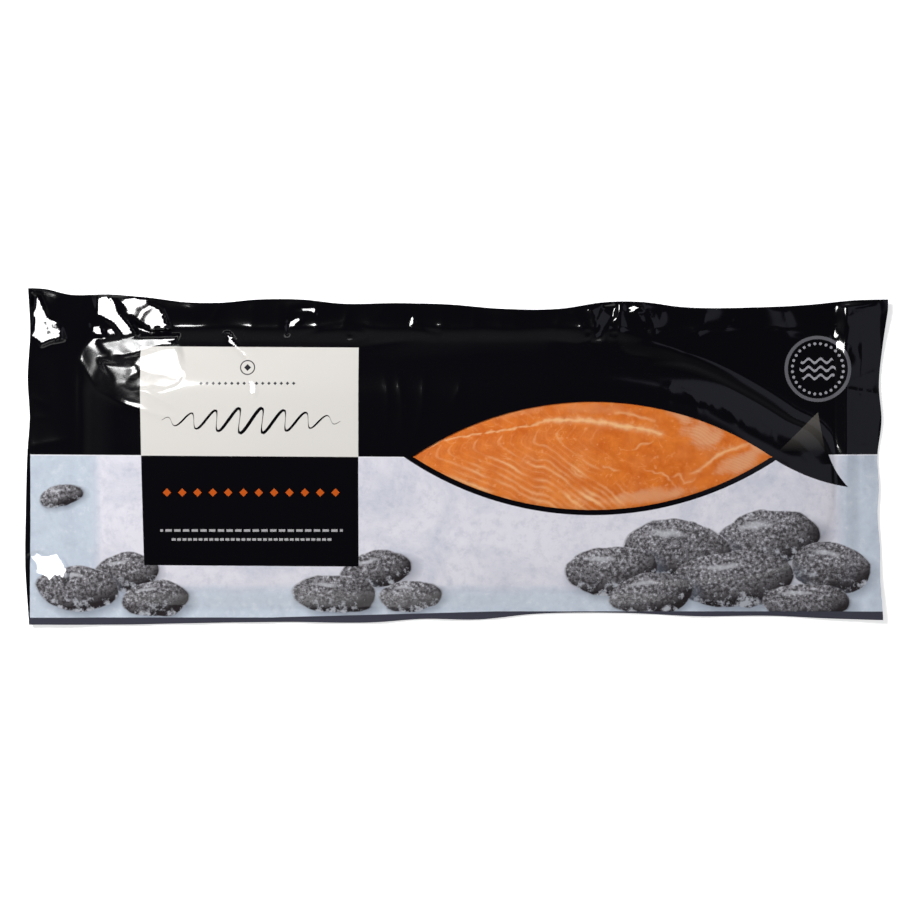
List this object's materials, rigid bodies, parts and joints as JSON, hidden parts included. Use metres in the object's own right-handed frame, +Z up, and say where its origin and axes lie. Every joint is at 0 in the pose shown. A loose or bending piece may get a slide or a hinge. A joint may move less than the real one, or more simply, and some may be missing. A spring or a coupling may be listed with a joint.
{
  "type": "pack of smoked salmon",
  "caption": "Flat vacuum pack of smoked salmon: a side of fish on a stiff board, sealed in a dark printed film pouch with an eye-shaped clear window.",
  "frame": {"origin": "under the middle of the pack, on the surface it lies on", "axes": "+X along the pack towards the fish's tail, +Y across it towards the fish's back, +Z up out of the printed front"},
  "size_m": [0.642, 0.2494, 0.0253],
  "materials": {
    "printed_film": "glossy, printed",
    "clear_film": "glossy, clear",
    "salmon_flesh": "moist, satin",
    "board_card": "laminated"
  },
  "bodies": {
    "root": {"pouch": "printed_film", "window_film": "clear_film", "salmon_side": "salmon_flesh", "board": "board_card"}
  },
  "joints": []
}
